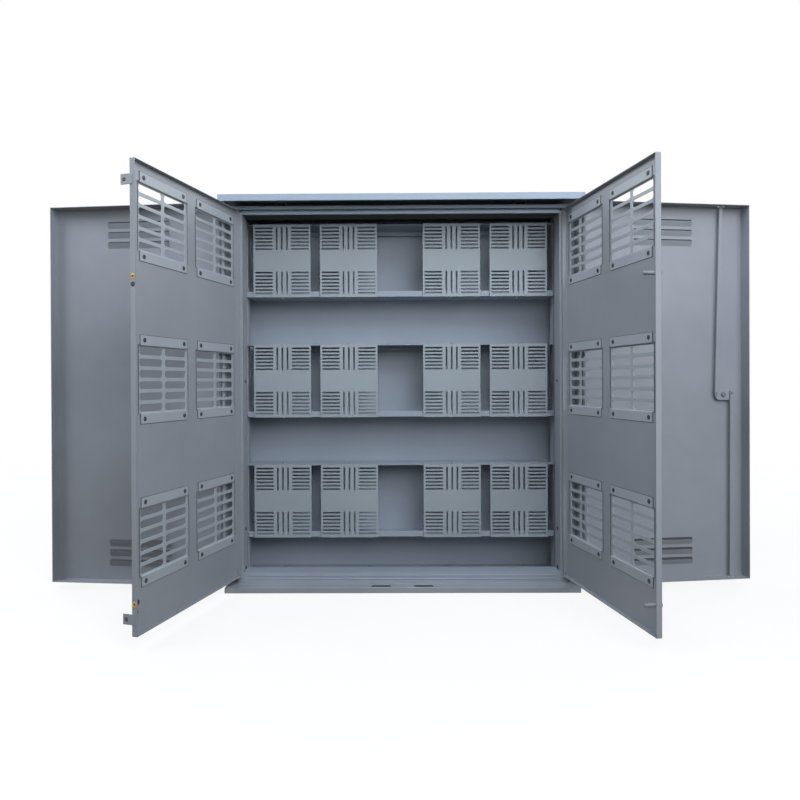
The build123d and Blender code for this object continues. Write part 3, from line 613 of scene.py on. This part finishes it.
# near the object a share of the paper keeps the shadow, and from 5 m out the floor is as white as the room
far = add(tree, "ShaderNodeVectorMath", {"operation": "LENGTH"}, {0: where}).outputs["Value"]
share = add(tree, "ShaderNodeMapRange", {"From Min": 1.2, "From Max": 5.0, "To Min": 0.86, "To Max": 1.0},
            {"Value": far}).outputs[0]
seen = add(tree, "ShaderNodeMath", {"operation": "MULTIPLY"}, {0: shown, 1: share}).outputs[0]
mixed = add(tree, "ShaderNodeMixShader", None, {0: seen, 1: paper, 2: glow}).outputs[0]
add(tree, "ShaderNodeOutputMaterial", None, {"Surface": mixed})

floor_mesh = bpy.data.meshes.new("studio_floor")
floor_corners = [(x * FLOOR_HALF, y * FLOOR_HALF, 0) for x, y in ((-1, -1), (1, -1), (1, 1), (-1, 1))]
floor_mesh.from_pydata(floor_corners, [], [(0, 1, 2, 3)])
floor_mesh.materials.append(stage_material)
floor = bpy.data.objects.new("studio_floor", floor_mesh)
bpy.context.scene.collection.objects.link(floor)

# a white room to look at, whose weak light goes from grey at the horizon to pale blue about 45 degrees up
world = bpy.data.worlds.new("white_room")
bpy.context.scene.world = world
world.use_nodes = True
tree = world.node_tree
tree.nodes.clear()
heading = add(tree, "ShaderNodeTexCoord").outputs["Generated"]
height = add(tree, "ShaderNodeSeparateXYZ", None, {0: heading}).outputs["Z"]
climb = add(tree, "ShaderNodeMapRange", {"From Min": 0.0, "From Max": 0.7}, {"Value": height}).outputs[0]
sky = add(tree, "ShaderNodeMix", {"data_type": "RGBA", COLOUR_A: linear("#d3d5d8"), COLOUR_B: linear("#b4c8e6")},
          {0: climb}).outputs[COLOUR_OUT]
soft = add(tree, "ShaderNodeBackground", {"Strength": 0.22}, {"Color": sky}).outputs[0]
white = add(tree, "ShaderNodeBackground", {"Color": WHITE, "Strength": 1.0}).outputs[0]
room = add(tree, "ShaderNodeMixShader", None, {0: background_rays(tree), 1: soft, 2: white}).outputs[0]
add(tree, "ShaderNodeOutputWorld", None, {"Surface": room})


# ---------------------------------------------------------------- lamps and camera

def aimed(place, right, up, back):
    """Matrix of a lamp or camera at place, from its own three directions."""
    matrix = np.eye(4)
    matrix[:3, :3] = np.stack([right, up, back], 1)
    matrix[:3, 3] = place
    return Matrix(matrix.tolist())


def soft_light(name, place, aim, size, power, code):
    """A square softbox at place that faces aim, with its sides level."""
    light = bpy.data.lights.new(name, "AREA")
    light.size = size
    light.energy = power
    light.color = linear(code)[:3]
    lamp = bpy.data.objects.new(name, light)
    bpy.context.scene.collection.objects.link(lamp)
    lamp.visible_camera = False
    back = np.array(place, float) - aim
    back = back / np.linalg.norm(back)
    right = np.cross(UP, back)
    right = right / np.linalg.norm(right)
    lamp.matrix_world = aimed(place, right, np.cross(back, right), back)


# name, place, aim, side in metres, watts and colour
soft_light("right_front_softbox", (1.9, -3.0, 2.4), (0, 0, 1.2), 2.2, 78, "#ebf2fc")
soft_light("high_front_softbox", (0.45, -1.9, 3.2), (0, 0, 0.9), 1.8, 46, "#e6effc")
soft_light("high_left_softbox", (-2.5, -1.0, 3.0), (0.4, -0.2, 0.7), 1.8, 75, "#e8f0fc")
soft_light("rear_left_softbox", (-3.4, 2.6, 2.6), (0, 0.1, 0.7), 2.2, 95, "#f3f5f9")
soft_light("rear_right_softbox", (3.4, 2.6, 2.6), (0, 0.1, 0.7), 2.2, 95, "#f3f5f9")
soft_light("front_fill", (0.25, -2.2, 1.4), (0, 0, 1.25), 1.0, 12, "#eef3f8")

# the photograph's camera, from a fit to its edges and corners: pixels, degrees and metres
IMAGE = 800
SENSOR = 36.0                           # mm
FOCAL, CENTRE_X, CENTRE_Y = 664.405, 377.683, 385.422
YAW, PITCH, ROLL = np.radians([-0.4582, -0.2301, -0.2460])
CAMERA_PLACE = (-0.06273, -2.29988, 0.70839)

camera_data = bpy.data.cameras.new("photo_camera")
camera = bpy.data.objects.new("photo_camera", camera_data)
bpy.context.scene.collection.objects.link(camera)
bpy.context.scene.camera = camera
camera_data.sensor_width = SENSOR
camera_data.lens = FOCAL / IMAGE * SENSOR
camera_data.shift_x = (IMAGE / 2 - CENTRE_X) / IMAGE
camera_data.shift_y = (CENTRE_Y - IMAGE / 2) / IMAGE
forward = np.array([np.sin(YAW) * np.cos(PITCH), np.cos(YAW) * np.cos(PITCH), np.sin(PITCH)])
level = np.array([np.cos(YAW), -np.sin(YAW), 0.0])
lift = np.cross(level, forward)
right = level * np.cos(ROLL) + lift * np.sin(ROLL)
up = lift * np.cos(ROLL) - level * np.sin(ROLL)
camera.matrix_world = aimed(CAMERA_PLACE, right, up, -forward)

view = bpy.context.scene.view_settings
view.view_transform = "Standard"
